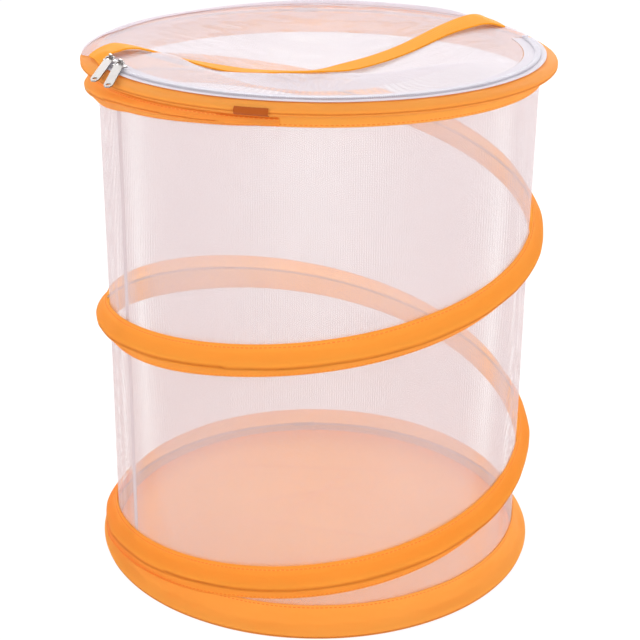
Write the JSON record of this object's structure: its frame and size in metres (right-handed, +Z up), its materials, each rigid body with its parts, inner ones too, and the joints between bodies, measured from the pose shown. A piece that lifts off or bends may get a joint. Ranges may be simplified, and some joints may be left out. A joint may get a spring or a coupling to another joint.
{
  "type": "pop-up insect cage",
  "caption": "Collapsible round insect cage: net wall on spring-steel hoops and a spring coil in sewn tape, net lid with a zip round the front, carry strap across the top.",
  "frame": {"origin": "centre of the floor panel, on the table", "axes": "+Z up along the cage's axis, -Y towards the front of the lid, +X to the right when seen from the front"},
  "size_m": [0.313, 0.313, 0.3633],
  "materials": {
    "orange_tape": "woven polyester binding tape, slight sheen, stitched edges",
    "orange_webbing": "flat woven webbing",
    "orange_floor": "plain woven polyester, soft creases",
    "white_net": "fine knitted polyester net, see-through",
    "lid_net": "fine knitted polyester net, see-through",
    "white_tape": "woven zip tape",
    "white_nylon": "white nylon coil teeth",
    "spring_steel": "drawn spring-steel wire",
    "white_rubber": "moulded end caps",
    "nickel": "nickel-plated zinc, worn bright at the edges",
    "brown_label": "bare woven tag"
  },
  "bodies": {
    "base": {"floor_panel": "orange_floor", "base_binding": "orange_tape", "base_hoop_wire": "spring_steel", "base_hoop_ferrule": "spring_steel", "coil_wire": "spring_steel", "coil_cap_upper": "white_rubber", "coil_cap_lower": "white_rubber", "coil_casing": "orange_tape", "wall_net": "white_net", "wall_seam": "white_tape"},
    "top_ring": {"top_binding": "orange_tape", "top_hoop_wire": "spring_steel", "top_hoop_ferrule": "spring_steel", "lid_rear_net": "lid_net", "side_label": "brown_label", "zip_rim_tape": "white_tape", "zip_rim_teeth": "white_nylon", "zip_end_tape_left": "white_tape", "zip_end_tape_right": "white_tape", "zip_end_teeth_left": "white_nylon", "zip_end_teeth_right": "white_nylon", "zip_stop_left": "white_nylon", "zip_stop_right": "white_nylon"},
    "lid_flap": {"lid_flap_net": "lid_net", "zip_flap_tape": "white_tape", "zip_flap_teeth": "white_nylon"},
    "carry_strap": {"carry_strap": "orange_webbing"},
    "slider_left": {"slider_left": "nickel"},
    "slider_right": {"slider_right": "nickel"},
    "pull_tab_left": {"pull_tab_left": "nickel"},
    "pull_tab_right": {"pull_tab_right": "nickel"}
  },
  "joints": [
    {"name": "pop_up_collapse", "type": "slide", "parent": "base", "child": "top_ring", "axis": [0, 0, 1], "range_m": [-0.312, 0], "stiffness_N_per_m": 15, "springref_m": 0.2, "deforming": ["wall_net", "wall_seam", "coil_wire", "coil_cap_upper", "coil_cap_lower", "coil_casing"]},
    {"name": "lid_flap_lift", "type": "hinge", "parent": "top_ring", "child": "lid_flap", "pos_m": [0.0103, -0.02909, 0.3644], "axis": [-0.9426, -0.3338, 0], "range_deg": [0, 100]},
    {"name": "strap_lift", "type": "slide", "parent": "top_ring", "child": "carry_strap", "axis": [0, 0, 1], "range_m": [0, 0.05]},
    {"name": "slider_left_travel", "type": "hinge", "parent": "top_ring", "child": "slider_left", "pos_m": [0, 0, 0.3569], "axis": [0, 0, 1], "range_deg": [-4.5, 0]},
    {"name": "slider_right_travel", "type": "hinge", "parent": "top_ring", "child": "slider_right", "pos_m": [0, 0, 0.3569], "axis": [0, 0, 1], "range_deg": [0, 158]},
    {"name": "pull_tab_left_swing", "type": "hinge", "parent": "slider_left", "child": "pull_tab_left", "pos_m": [-0.12882, -0.06118, 0.3614], "axis": [-0.9736, 0.2283, 0], "range_deg": [0, 150]},
    {"name": "pull_tab_right_swing", "type": "hinge", "parent": "slider_right", "child": "pull_tab_right", "pos_m": [-0.12093, -0.07558, 0.3614], "axis": [-0.9888, 0.1495, 0], "range_deg": [0, 100]}
  ]
}
